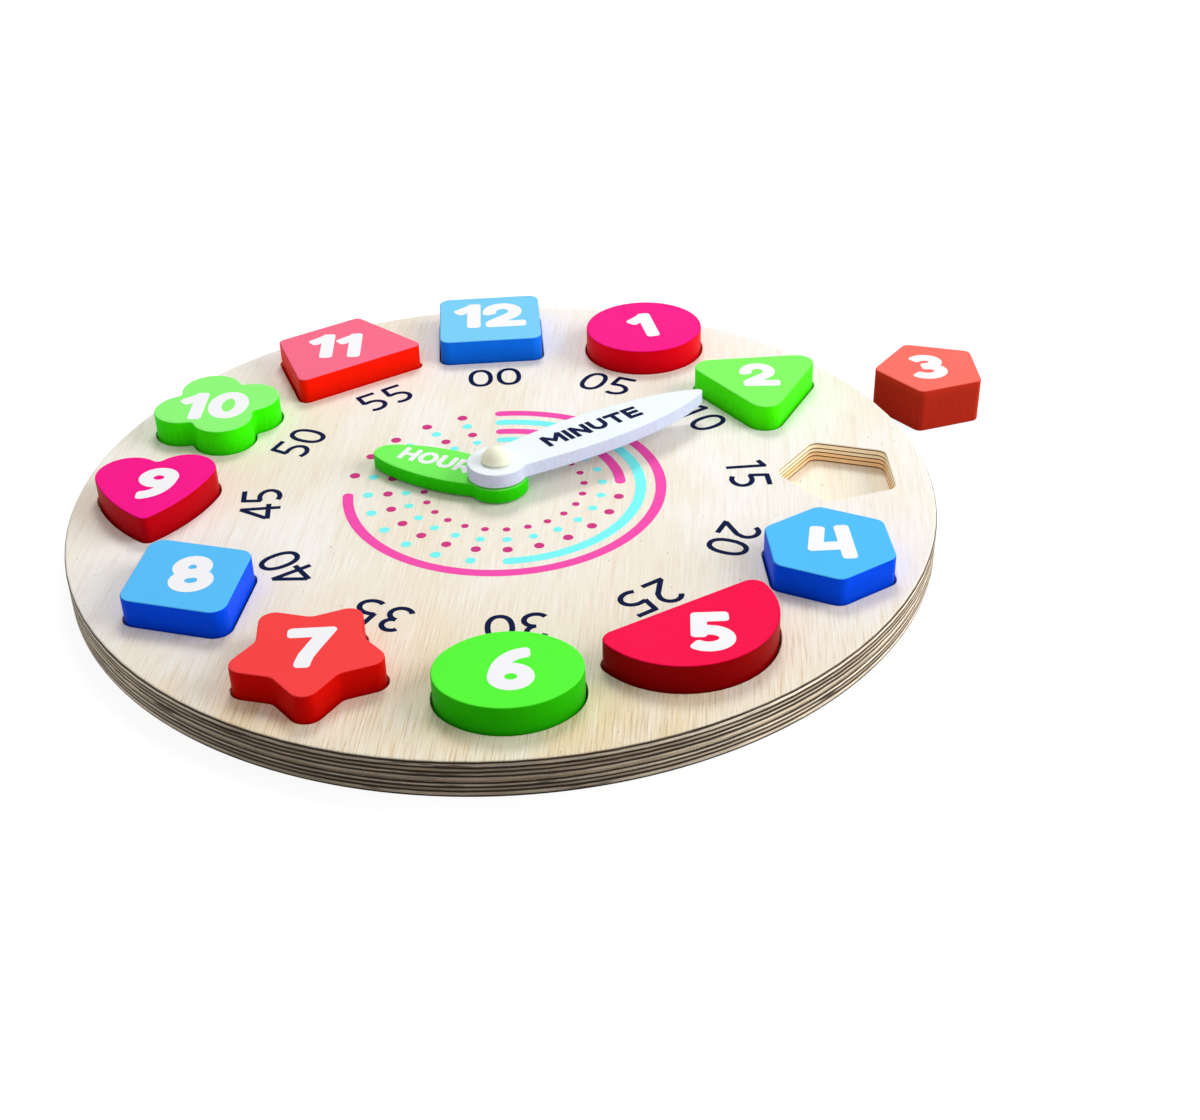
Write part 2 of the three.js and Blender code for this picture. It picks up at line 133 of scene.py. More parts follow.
class Finish:
    """A material, and the nodes that it is made of."""

    def __init__(self, name):
        self.material = bpy.data.materials.new(name)
        self.material.use_nodes = True
        self.tree = self.material.node_tree
        self.tree.nodes.clear()

    def node(self, kind, settings, sockets, out=0):
        """Adds a node. Its result is one output, or a list of them where out is a tuple of names."""
        made = self.tree.nodes.new(kind)
        for name, value in settings.items():
            if name == "stops":
                stops = made.color_ramp.elements
                for i, (position, colour) in enumerate(value):
                    stop = stops[i] if i < 2 else stops.new(position)
                    stop.position, stop.color = position, colour
            elif name == "interpolation":
                made.color_ramp.interpolation = value
            else:
                setattr(made, name, value)
        for name, value in sockets.items():
            plug(made.inputs[name], value)
        if isinstance(out, tuple):
            return [Wire(made.outputs[name]) for name in out]
        return Wire(made.outputs[out])

    def place(self, stretch=(1, 1, 1), shift=(0, 0, 0), turn=0.0):
        """The point being shaded, in millimetres of the clock, after a turn, a stretch and a shift."""
        point = self.node("ShaderNodeTexCoord", {}, {}, "Object")
        if turn:
            point = self.node("ShaderNodeMapping", {}, {"Vector": point, "Rotation": (0, 0, radians(turn))})
        scale = tuple(s / mm for s in stretch)
        return self.node("ShaderNodeMapping", {}, {"Vector": point, "Scale": scale, "Location": shift})

    def parts(self, output):
        """The x, y and z parts of an output of the Texture Coordinate node."""
        vector = self.node("ShaderNodeTexCoord", {}, {}, output)
        return self.node("ShaderNodeSeparateXYZ", {}, {0: vector}, ("X", "Y", "Z"))

    def spot(self):
        """The point being shaded, as x, y and z in millimetres of the clock."""
        return [part / mm for part in self.parts("Object")]

    def facing_up(self):
        """1 where the surface faces up, 0 where it is upright and -1 where it faces down."""
        return self.parts("Normal")[2]

    def noise(self, where, size, detail=2.0, roughness=0.5):
        """Cloudy noise from 0 to 1, with features about as wide as size."""
        return self.node("ShaderNodeTexNoise", {}, {
            "Vector": where, "Scale": 1 / size, "Detail": detail, "Roughness": roughness})

    def step(self, value, low, high):
        """0 below low, 1 above high, and a soft way up between them."""
        return self.node("ShaderNodeMapRange", {"interpolation_type": "SMOOTHSTEP"}, {
            "Value": value, "From Min": low, "From Max": high})

    def blend(self, share, first, second):
        """The first colour where share is 0 and the second where it is 1."""
        return self.node("ShaderNodeMix", {"data_type": "RGBA"}, {0: share, 6: first, 7: second}, 2)

    def tint(self, colour, amount):
        """A colour made brighter or darker by a number that changes over the surface."""
        colour = colour if isinstance(colour, Wire) else colour[:3]
        return self.node("ShaderNodeVectorMath", {"operation": "SCALE"}, {0: colour, "Scale": amount})

    def bump(self, height, depth):
        """Relief from a height of 0 to 1 that stands for depth millimetres."""
        sockets = {"Height": height, "Distance": depth * mm, "Strength": 1.0}
        return self.node("ShaderNodeBump", {}, sockets, "Normal")

    def show(self, shader):
        """Makes a shader the one that the material shows."""
        out = self.tree.nodes.new("ShaderNodeOutputMaterial")
        plug(out.inputs["Surface"], shader)
        return self.material

    def surface(self, sockets):
        """Shows one Principled shader with the sockets given."""
        return self.show(self.node("ShaderNodeBsdfPrincipled", {}, sockets))


print("wires ready")

# %% [markdown]
# ## A quiet studio
# Painted wood needs soft light, or its colours burn out. A wide lamp low on the right makes the sides
# that face it glow, a smaller one high behind the clock throws the shadows of the hands softly towards
# us, and a wide weak one beside the camera keeps the front sides clear. The pale world fills the rest.
# Together they light the tops at a level of about one, so that a colour there renders about as written.

# %% Light
def soft_lamp(name, place, size, power):
    """A round lamp, so many metres wide, that shines at the middle of the clock with so many watts."""
    lamp = bpy.data.lights.new(name, "AREA")
    lamp.shape = "DISK"
    lamp.size = size
    lamp.energy = power
    stand = bpy.data.objects.new(name, lamp)
    stand.location = place
    stand.rotation_euler = (-Vector(place)).to_track_quat("-Z", "Y").to_euler()
    bpy.context.collection.objects.link(stand)


soft_lamp("right_lamp", place=(1.5, -0.15, 0.72), size=1.3, power=20.0)
soft_lamp("back_lamp", place=(0.1, 1.0, 1.35), size=0.6, power=11.2)
soft_lamp("front_lamp", place=(-0.3, -1.1, 0.9), size=1.3, power=1.0)
print("three lamps")

# %% [markdown]
# ## World
# The photograph has a pure white ground. Turning the lamps up would bleach the clock, so only rays that
# come straight from the camera, or by way of a shiny surface, see a white world. All other rays find a
# much dimmer one, which fills the shadows without washing them out.

# %% World
world = bpy.data.worlds.new("studio")
world.use_nodes = True
bpy.context.scene.world = world
world_nodes = world.node_tree.nodes
world_nodes.clear()


def seen(tree):
    """1 for rays from the camera, a reflection or a clear piece, and 0 for rays that only light things."""
    path = tree.nodes.new("ShaderNodeLightPath")
    kinds = ("Is Camera Ray", "Is Glossy Ray", "Is Transmission Ray")
    camera_ray, glossy_ray, clear_ray = (Wire(path.outputs[kind]) for kind in kinds)
    return camera_ray.higher_of(glossy_ray).higher_of(clear_ray)


sky = world_nodes.new("ShaderNodeBackground")
sky_light = 0.38
plug(sky.inputs["Color"], (1, 1, 1, 1))
plug(sky.inputs["Strength"], sky_light + (1 - sky_light) * seen(world.node_tree))
plug(world_nodes.new("ShaderNodeOutputWorld").inputs["Surface"], Wire(sky.outputs[0]))
bpy.context.scene.view_settings.view_transform = "Standard"
print("world light", sky_light)

# %% [markdown]
# ## Floor
# The floor looks as white as the world, but it keeps a share of its own shading, which leaves a soft
# shadow under the rim. To the rays that only light things it is a dim grey. A white floor would throw
# its light up at the rim and at the front sides of the blocks, and in the photograph these are deep.

# %% Floor
floor_reach = 5.0
floor_mesh = bpy.data.meshes.new("studio_floor")
sheet = bmesh.new()
bmesh.ops.create_grid(sheet, x_segments=1, y_segments=1, size=floor_reach)
sheet.to_mesh(floor_mesh)
sheet.free()
studio_floor = bpy.data.objects.new("studio_floor", floor_mesh)
bpy.context.collection.objects.link(studio_floor)

shadow_share, floor_glow = 0.2, 1.12
seen_grey, lighting_grey = (0.84, 0.84, 0.84, 1), (0.30, 0.30, 0.30, 1)
pale = Finish("floor_paint")
lit = pale.node("ShaderNodeBsdfDiffuse", {}, {"Color": seen_grey})
white = pale.node("ShaderNodeEmission", {}, {"Color": (1, 1, 1, 1), "Strength": floor_glow})
shown = pale.node("ShaderNodeMixShader", {}, {0: 1 - shadow_share, 1: lit, 2: white})
dim = pale.node("ShaderNodeBsdfDiffuse", {}, {"Color": lighting_grey})
whole = pale.node("ShaderNodeMixShader", {}, {0: seen(pale.tree), 1: dim, 2: shown})
floor_mesh.materials.append(pale.show(whole))
print("floor keeps", shadow_share, "of its shading")

# %% [markdown]
# ## From a solid to a finished piece
# Every flat part of the clock is an outline with a thickness: the blocks, the hands and both sheets. A
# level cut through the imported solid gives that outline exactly, so the finished piece can't drift away
# from it. The outline is filled, raised to its full height, and its upper and lower edges are rounded
# with a bevel, as a router bit and sandpaper do. Weighted normals then keep the flat faces flat and the
# round edges round.

# %% Helpers for pieces
same_point, same_height, hair = 2e-6, 1e-6, 1e-7  # metres
still_flat, soft_bend, sharp_bend = radians(0.3), radians(50), radians(60)


def level_cut(node, height):
    """The outlines that a level cut leaves of a solid, as a bmesh of closed chains of edges."""
    cut = bmesh.new()
    cut.from_mesh(solids[node].data)
    bmesh.ops.remove_doubles(cut, verts=cut.verts, dist=same_point)
    bmesh.ops.dissolve_limit(cut, angle_limit=still_flat, verts=cut.verts, edges=cut.edges)
    everything = cut.verts[:] + cut.edges[:] + cut.faces[:]
    bmesh.ops.bisect_plane(cut, geom=everything, dist=hair, plane_co=(0, 0, height),
                           plane_no=(0, 0, 1), clear_inner=True, clear_outer=True)
    return cut


def raised(shape, low, high):
    """Fills the outlines at the lower height and raises them to the upper one."""
    for vertex in shape.verts:
        vertex.co.z = low
    filled = bmesh.ops.triangle_fill(shape, use_beauty=True, use_dissolve=True, edges=shape.edges)
    faces = [f for f in filled["geom"] if isinstance(f, bmesh.types.BMFace)]
    lifted = bmesh.ops.extrude_face_region(shape, geom=faces)
    top = [v for v in lifted["geom"] if isinstance(v, bmesh.types.BMVert)]
    bmesh.ops.translate(shape, vec=(0, 0, high - low), verts=top)
    bmesh.ops.recalc_face_normals(shape, faces=shape.faces)
    return shape


def slice_of(node):
    """A solid's outline, cut at half its height and raised to its full height, with both heights."""
    low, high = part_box(node)
    return raised(level_cut(node, (low.z + high.z) / 2), low.z, high.z), low.z, high.z


def rounded(shape, height, amount, chosen=lambda edge: True, segments=4):
    """Rounds the sharp edges that lie at one height."""
    level = [e for e in shape.edges if all(abs(v.co.z - height) < same_height for v in e.verts)]
    sharp = [e for e in level if len(e.link_faces) == 2 and e.calc_face_angle() > sharp_bend]
    bmesh.ops.bevel(shape, geom=[e for e in sharp if chosen(e)], offset=amount, offset_type="OFFSET",
                    segments=segments, profile=0.5, affect="EDGES", material=-1, clamp_overlap=False,
                    loop_slide=True)


def finished(name, shape, body, finish=None, weighted=True):
    """Turns a bmesh into an object that rides on a body of the clock."""
    mesh = bpy.data.meshes.new(name)
    for face in shape.faces:
        face.smooth = True
    for edge in shape.edges:
        edge.smooth = len(edge.link_faces) != 2 or edge.calc_face_angle() < soft_bend
    shape.to_mesh(mesh)
    shape.free()
    piece = bpy.data.objects.new(name, mesh)
    bpy.context.collection.objects.link(piece)
    if finish:
        mesh.materials.append(finish)
    if weighted:
        even = piece.modifiers.new("even_normals", "WEIGHTED_NORMAL")
        even.mode = "FACE_AREA"
        even.weight = 90
        even.keep_sharp = True
    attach(piece, body)
    return piece


print("helpers ready")

# %% [markdown]
# ## Paint
# The blocks are sprayed with an opaque satin paint. Light and shade are painted into its colour: a
# lighter, milkier shade on top, where it faces the lamps, and a deeper one on the sides, painted
# darker still low down, where little light gets to. The coat is never quite even: it has the faint
# dimples of sprayed paint, and on the sides the saw marks of the block show through as faint upright
# streaks. All of it comes from noise in the block's own coordinates, so the pattern stays with a block
# when it is lifted.

# %% Paint
def paint(name, top, shaded_side, dimples=0.018, roughness=0.42):
    """A satin paint, from its painted lit shade on top, its painted shaded sides and the depth of its
    dimples.
    """
    coat = Finish(name)
    up = coat.facing_up()
    where = coat.place()
    cloud = coat.noise(where, 9.0, 3.0)
    grit = coat.noise(where, 0.55, 2.0)
    streak = coat.noise(coat.place((1.6, 1.6, 0.25)), 1.0, 3.0, 0.6)
    painted_shade_from, painted_shade_full = 12.0, 22.0
    # Painted shade: the sides get darker towards the bottom of the block, where little light gets to.
    lit = 0.78 + 0.30 * coat.step(coat.spot()[2], painted_shade_from, painted_shade_full)
    # Painted light and shade: the top takes the lit shade and the sides the shaded colour, by the way they
    # face.
    painted_top_light = coat.step(up, 0.35, 0.97)
    colour = coat.blend(painted_top_light, coat.tint(shade(*shaded_side), (0.84 + 0.32 * streak) * lit), shade(*top))
    colour = coat.tint(colour, 0.965 + 0.05 * cloud + 0.035 * grit)
    relief = 0.55 * coat.noise(where, 2.4, 1.0) + 0.45 * grit
    return coat.surface({
        "Base Color": colour,
        "Roughness": roughness - 0.06 + 0.12 * cloud,
        "Specular IOR Level": 0.03,
        "Normal": coat.bump(relief, dimples),
    })


# Painted light and shade: each paint has its lit shade on top and its shaded colour on the sides.
white_paint = paint("white_paint", (242, 250, 253), (208, 216, 240))
cream_paint = paint("cream_paint", (255, 255, 230), (254, 254, 226))
hour_green = paint("hour_green_paint", (122, 250, 96), (44, 220, 4))
print("three paints")

# %% [markdown]
# ## Number blocks
# Each block is a slice of hardwood with another outline: a disc, a triangle, a pentagon and so on.
# Nothing about the outline is drawn again here, because a cut through each solid gives it. The edge is
# rounded by half a millimetre, in small steps, so that it catches a thin line of light. Five colours of
# paint are shared out over the clock, and each coat is a little lighter or deeper than the next, so
# every block has its own pair of shades: a lit shade painted on top and a shaded one painted on the
# sides, where the blocks at the front are painted deeper for the shade that falls on them.

# %% Number blocks
# The top shade is a painted lit shade and the side shade a painted shaded one; the front blocks' sides are
# deepest.
block_paint = {  # colour, its shade on top, its shade on the sides
    1: ("magenta", (246, 14, 136), (232, 0, 22)),
    2: ("green", (130, 251, 100), (72, 255, 2)),
    3: ("orange_red", (249, 112, 100), (238, 60, 38)),
    4: ("blue", (82, 192, 249), (0, 82, 255)),
    5: ("crimson", (251, 0, 74), (152, 0, 3)),
    6: ("green", (88, 253, 55), (40, 194, 0)),
    7: ("orange_red", (252, 68, 69), (216, 6, 0)),
    8: ("blue", (90, 194, 253), (0, 80, 255)),
    9: ("magenta", (252, 12, 141), (192, 0, 15)),
    10: ("green", (144, 252, 122), (57, 250, 0)),
    11: ("orange_red", (249, 110, 140), (255, 24, 0)),
    12: ("blue", (120, 207, 247), (14, 118, 255)),
}
block_edge = 0.5 * mm
blocks = {}
for number, (colour, top, shaded_side) in block_paint.items():
    shape, low, high = slice_of(f"number_block_{number}")
    rounded(shape, high, block_edge)
    rounded(shape, low, block_edge)
    coat = paint(f"{colour}_paint_{number}", top, shaded_side)
    piece = finished(f"painted_block_{number}", shape, f"block_{number}", coat)
    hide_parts(f"number_block_{number}")
    blocks[number] = piece
print("blocks with", sum(len(b.data.polygons) for b in blocks.values()), "faces")

# %% [markdown]
# ## Hands
# The hands are thick enough for a child to push, cut from one board each and rounded by half a
# millimetre, so that no edge is sharp. They are made like the blocks. The cut also finds the hole for
# the peg, which the fill leaves open.

# %% Hands
hand_edge = 0.55 * mm
for name, colour, coat in (("hour_hand", "green", hour_green), ("minute_hand", "white", white_paint)):
    shape, low, high = slice_of(name)
    rounded(shape, high, hand_edge, segments=3)
    rounded(shape, low, hand_edge, segments=3)
    finished(f"painted_{name}", shape, name, coat)
    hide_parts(name)
    print(name, "from", round(low / mm, 2), "to", round(high / mm, 2), "mm")

# %% [markdown]
# ## Peg
# A turned peg with a shallow domed head holds the hands. Turned parts are what spin is for: half a
# profile goes once round the axis. The dome is part of a circle through the rim of the head and its
# crown.

# %% Peg
def turned(profile, steps):
    """Spins a profile of (radius, height) pairs, in millimetres, once round the upright axis."""
    shape = bmesh.new()
    points = [shape.verts.new((radius * mm, 0, height * mm)) for radius, height in profile]
    chain = [shape.edges.new(pair) for pair in zip(points, points[1:])]
    bmesh.ops.spin(shape, geom=points + chain, cent=(0, 0, 0), axis=(0, 0, 1), dvec=(0, 0, 0),
                   angle=2 * pi, steps=steps, use_merge=True)
    bmesh.ops.remove_doubles(shape, verts=shape.verts, dist=hair)
    bmesh.ops.recalc_face_normals(shape, faces=shape.faces)
    return shape


peg_low, peg_high = (corner.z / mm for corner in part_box("pivot_peg"))
shank, head, head_floor, head_rim, rim_soft = 4.0, 5.6, 25.0, 0.8, 0.3
rise = peg_high - head_floor - head_rim
dome = (rise ** 2 + head ** 2) / (2 * rise)
spread = atan2(head, dome - rise)
dome_steps, peg_steps = 12, 48
angles = [spread * (dome_steps - i) / dome_steps for i in range(dome_steps)]
crown = [(dome * sin(angle), peg_high - dome + dome * cos(angle)) for angle in angles]
profile = [(0, peg_low), (shank, peg_low), (shank, head_floor), (head - rim_soft, head_floor),
           (head, head_floor + rim_soft), *crown, (0, peg_high)]
peg = finished("painted_peg", turned(profile, peg_steps), "board", cream_paint)
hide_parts("pivot_peg")
print("peg dome radius", round(dome, 2), "mm")

# %% [markdown]
# ## Board
# The board is two sheets of plywood glued together. The upper one is sawn through along every outline,
# and the lower one closes the recesses from below. The saw leaves a sharp edge that sanding just
# breaks, while the upper edge of the rim is rounded over by a millimetre. Twelve holes in one face
# would trip a plain fill, so the fill is left as triangles wherever it must be. The lower sheet is a
# plain disc with a socket for the peg, which is quickest to spin, as the peg was.

# %% Board
rim_rounding, sanded_edge, rim_band = 1.0 * mm, 0.3 * mm, 0.5 * mm
sheet_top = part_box("base_board")[1]
board_radius = sheet_top.x


def at_rim(edge):
    """Whether both ends of an edge lie at the rim of the board."""
    return all(hypot(v.co.x, v.co.y) > board_radius - rim_band for v in edge.verts)


shape, _, high = slice_of("top_board")
rounded(shape, high, rim_rounding, at_rim)
rounded(shape, high, sanded_edge, lambda edge: not at_rim(edge), segments=2)
top_sheet = finished("top_sheet", shape, "board")
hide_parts("top_board")

rim, joint, socket, socket_floor, rim_steps = board_radius / mm, sheet_top.z / mm, 4.3, 2.6, 192
profile = [(0, 0), (rim, 0), (rim, joint), (socket, joint), (socket, socket_floor), (0, socket_floor)]
shape = turned(profile, rim_steps)
rounded(shape, 0.0, sanded_edge, at_rim, segments=2)
base_sheet = finished("base_sheet", shape, "board")
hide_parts("base_board")
print("sheets with", len(top_sheet.data.polygons), "and", len(base_sheet.data.polygons), "faces")

# %% [markdown]
# ## Plywood
# Plywood is a stack of thin veneers, glued with the grain turned from one to the next. On a flat face
# you see only the outermost veneer: pale, with fine streaks that run from front to back, eight degrees
# off the line through twelve o'clock, and with warmer patches near the front. The recess floors are
# painted paler and warmer, a painted glow of bounced light that lifts the shade under the recess walls.
# On the rim and in the recesses you see the stack from its side, as pale plies with dark glue lines
# between them, and along the foot of the rim a painted contact shadow as one more dark line. The front
# of the rim is painted browner and darker, for the shade that falls there, and the rim has a few
# scorched spots. In the recesses the lower plies are browner, and there the joint of the two sheets
# shows as one more line.
#
# A pattern in three dimensions does all of it at once, as if the board really were cut from such a
# block: the height picks the ply, and the way that the surface faces tells a cut edge from a flat face.

# %% Plywood
board_height, sheet_joint, veneer_from, veneer_full = 13, 5.8, 12.55, 12.75
# The lowest line, at 0.35 mm along the foot of the rim, is a painted contact shadow; the others are glue
# lines.
glue_and_shadow_lines = [0.35, 2.2, 3.7, 5.25, 7.6, 9.15, 10.65, 12.45]
ply_tones = {  # the height from which a ply goes up, and how pale it is
    0: 0.0, 0.35: 0.9, 2.2: 0.5, 3.7: 1.0, 5.25: 0.25,
    6.2: 0.8, 7.6: 0.65, 9.15: 0.4, 10.65: 1.0, 12.45: 0.8,
}
edge_from, edge_full = 147.0, 148.6  # from the middle, where a recess wall ends and the rim begins
front_from, front_full = -55.0, -150.0
# Painted shade: between these spans the front of the rim is browner and darker, for the shade that falls
# there.
painted_front_shade_left, painted_front_shade_right = (-118.0, -76.0), (5.0, 85.0)
grain_turn = 8.0


def plywood():
    """The finish of both sheets: a veneer on flat faces, plies on the recess walls and on the rim."""
    wood = Finish("plywood")
    x, y, z = wood.spot()
    flat = wood.step(abs(wood.facing_up()), 0.55, 0.92)
    level_spot = wood.node("ShaderNodeCombineXYZ", {}, {"X": x, "Y": y})
    out = wood.node("ShaderNodeVectorMath", {"operation": "LENGTH"}, {0: level_spot}, "Value")
    at_edge = wood.step(out, edge_from, edge_full)

    # The flat faces: fine fibres, wider streaks, soft patches and a few dark pin marks
    fibre = wood.noise(wood.place((1.9, 0.05, 1.0), (0, 0, 0), grain_turn), 1.0, 3.0, 0.62)
    streak = wood.noise(wood.place((0.5, 0.016, 0.3), (40, 0, 0), grain_turn), 1.0, 3.0, 0.6)
    patch = wood.noise(wood.place((1, 0.6, 1), (90, 20, 0)), 42.0, 2.0)
    pin = wood.step(wood.noise(wood.place((1.1, 0.4, 1), (7, 3, 0), grain_turn), 1.0, 1.0), 0.755, 0.80)
    front = wood.step(y, front_from, front_full)
    face = wood.blend(wood.step(patch, 0.35, 0.68), shade(251, 247, 241), shade(246, 237, 219))
    face = wood.blend(front * 0.6, face, shade(237, 223, 190))
    warm = wood.step(wood.noise(wood.place((1, 0.5, 1), (5, 70, 0), grain_turn), 22.0, 2.0), 0.46, 0.66)
    face = wood.blend(warm * (0.10 + 0.38 * front), face, shade(236, 204, 146))
    # Painted light: the recess floors are paler and warmer, a glow of bounced light over the shade of the
    # walls.
    floor_painted_light = wood.step(z, 9.0, 6.0)
    face = wood.blend(floor_painted_light * 0.8, face, shade(255, 248, 228))
    face = wood.blend(wood.step(streak, 0.46, 0.72) * 0.28, face, shade(236, 214, 184))
    face = wood.blend(wood.step(fibre, 0.50, 0.68) * (0.18 + 0.46 * front), face, shade(200, 168, 124))
    face = wood.blend(wood.step(fibre, 0.48, 0.32) * 0.55, face, shade(255, 253, 246))
    face = wood.blend(pin * 0.6, face, shade(104, 74, 52))

    # The cut edges: plies by height, with dark glue lines that waver, swell and thin out, and a painted
    # contact shadow as the lowest line
    waver = wood.noise(wood.place((0.02, 0.02, 0.0)), 1.0, 3.0) - 0.5
    level = z + 0.5 * waver
    stops = [(height / board_height, (tone, tone, tone, 1)) for height, tone in ply_tones.items()]
    ramp = {"interpolation": "CONSTANT", "stops": stops}
    tone = wood.node("ShaderNodeValToRGB", ramp, {"Fac": level / board_height})
    gap = abs(level - glue_and_shadow_lines[0])
    for line in glue_and_shadow_lines[1:]:
        gap = gap.lower_of(abs(level - line))
    gap = gap.lower_of(abs(level - sheet_joint) + at_edge)
    grain = wood.noise(wood.place((0.06, 0.06, 1.5)), 1.0, 4.0, 0.72)
    saw = wood.noise(wood.place((2.2, 2.2, 0.35)), 1.0, 2.0)
    swell = wood.noise(wood.place((0.03, 0.03, 0.7), (11, 5, 2)), 1.0, 3.0, 0.6)
    width = 0.22 + at_edge * (0.66 * swell - 0.14)
    dark = 1 - wood.step(gap - width, -0.12, 0.12)

    # The rim: painted shade browns and darkens its front, and it has scorched spots and the face veneer
    # along its top
    burn = wood.noise(wood.place((0.035, 0.035, 0.45), (3, 8, 1)), 1.0, 3.0, 0.6)
    scorch = wood.step(burn, 0.57, 0.66)
    painted_front_shade = wood.step(x, *painted_front_shade_left) * (1 - wood.step(x, *painted_front_shade_right))
    edge_ply = wood.blend(tone, shade(168, 142, 114), shade(248, 231, 206))
    edge_ply = wood.tint(edge_ply, (3.1 * grain + 0.5 * saw - 0.45) * (1 - 0.37 * painted_front_shade))
    edge_ply = wood.blend(painted_front_shade * 0.30, edge_ply, shade(112, 74, 44))
    edge_ply = wood.blend(scorch * 0.8, edge_ply, shade(66, 36, 27))
    edge_ply = wood.blend(wood.step(level, veneer_from, veneer_full), edge_ply, shade(196, 142, 98))

    # The recess walls: browner below, paler above
    seat_ply = wood.blend(wood.step(level, 9.0, 9.3), shade(250, 210, 160), shade(255, 238, 202))
    seat_ply = wood.tint(seat_ply, 0.90 + 0.34 * grain + 0.16 * tone)
    ply = wood.blend(at_edge, seat_ply, edge_ply)
    line_colour = wood.blend(at_edge, shade(78, 36, 10), shade(22, 12, 7))
    edge = wood.blend(dark * 0.94, ply, line_colour)

    relief = flat * fibre * 0.3 + (1 - flat) * (grain - dark * 0.6)
    return wood.surface({
        "Base Color": wood.blend(flat, edge, face),
        "Roughness": 0.5 + 0.14 * fibre,
        "Specular IOR Level": 0.08,
        "Normal": wood.bump(relief, 0.05),
    })


plywood_finish = plywood()
for piece in (top_sheet, base_sheet):
    piece.data.materials.append(plywood_finish)
print("plywood with", len(glue_and_shadow_lines), "glue lines")

# %% [markdown]
# ## Washers
# Two thin rings of bare wood keep the hands from rubbing on the board and on each other. They hardly
# show, so their solids stay as they are and only get a finish: end grain with faint turning marks.

# %% Washers
def bare_wood():
    wood = Finish("bare_wood")
    streak = wood.noise(wood.place((1.8, 0.09, 1.0)), 1.0, 3.0, 0.6)
    colour = wood.blend(wood.step(streak, 0.3, 0.75), shade(232, 210, 172), shade(202, 170, 122))
    return wood.surface({"Base Color": colour, "Roughness": 0.55 + 0.15 * streak,
                         "Normal": wood.bump(streak, 0.03)})


washer_finish = bare_wood()
for node in ("lower_washer", "upper_washer"):
    solids[node].data.materials.clear()
    solids[node].data.materials.append(washer_finish)
print("washers finished")

# %% [markdown]
# ## A flat pen
# Everything printed on the clock is drawn with strokes of one width: rings, dots, numerals and the two
# words. A font would bring letter shapes that aren't these, so each sign is a handful of strokes,
# written as points and bends. A stroke becomes flat patches, one for each short stretch and one for
# each end, which overlap. The patches are then joined into one outline and raised by less than a tenth
# of a millimetre, like a thick ink.

# %% The pen
def bend(x, y, across, up, start, end, fullness=2.0, step=10):
    """Points on part of an oval, given by its middle, its half sizes and two angles in degrees."""
    steps = max(2, ceil(abs(end - start) / step))
    points = []
    for i in range(steps + 1):
        angle = radians(start + (end - start) * i / steps)
        c, s = cos(angle), sin(angle)
        points.append(Vector((x + across * copysign(abs(c) ** (2 / fullness), c),
                              y + up * copysign(abs(s) ** (2 / fullness), s))))
    return points


def line(*pairs):
    """Points joined by straight strokes."""
    return [Vector(pair) for pair in pairs]


def without_ends(points, cut):
    """A stroke that stops short of both ends by the length given."""
    for _ in range(2):
        left = cut
        while len(points) > 2 and (points[1] - points[0]).length <= left:
            left -= (points[1] - points[0]).length
            points = points[1:]
        first = points[0] + (points[1] - points[0]).normalized() * left
        points = [first, *points[1:]][::-1]
    return points


def dot(centre, radius, steps=20):
    """The corners of a round patch."""
    angles = [2 * pi * i / steps for i in range(steps)]
    return [centre + Vector((radius * cos(angle), radius * sin(angle))) for angle in angles]


touching, steepest_mitre, soft_steps = 1e-6, 0.9, 16


def stroke(points, half, soft):
    """Flat patches that cover one stroke of a pen of a given half width, with corners rounded by soft."""
    closed = (points[0] - points[-1]).length < touching
    points = points[:-1] if closed else without_ends(points, soft)
    count = len(points)
    stretches = [(points[i], points[(i + 1) % count]) for i in range(count if closed else count - 1)]
    sides = [(b - a).normalized().orthogonal() for a, b in stretches]
    thin = half - soft
    patches = []
    for i, (a, b) in enumerate(stretches):
        corners = []
        for end, other in ((a, i - 1), (b, i + 1)):
            meets = closed or 0 <= other < len(sides)
            mitre = sides[i] + sides[other % len(sides)] if meets else sides[i]
            if mitre.length <= steepest_mitre:
                patches.append(dot(end, thin))
                mitre = sides[i]
            mitre = mitre.normalized()
            reach = mitre * (thin / mitre.dot(sides[i]))
            corners += [end + reach, end - reach]
        patches.append(corners)
    if soft == 0:
        return patches
    return [[point for corner in patch for point in dot(corner, soft, soft_steps)] for patch in patches]


def moved(patches, size=1.0, turn=0.0, shift=(0, 0)):
    """Patches made larger, then turned by degrees anticlockwise, then moved."""
    spin = Matrix.Rotation(radians(turn), 2)
    return [[spin @ (point * size) + Vector(shift) for point in patch] for patch in patches]


def anticlockwise(patch):
    """The hull of a patch, with its corners in anticlockwise order."""
    hull = [patch[i] for i in convex_hull_2d(patch)]
    return hull if sum(a.cross(b) for a, b in zip(hull, hull[1:] + hull[:1])) > 0 else hull[::-1]


def covers(hull, point):
    """Whether a point lies inside an anticlockwise hull."""
    return all((b - a).cross(point - a) > 0 for a, b in zip(hull, hull[1:] + hull[:1]))


film_height, film_sunk, same_corner = 0.06, 0.02, 1e-4  # millimetres


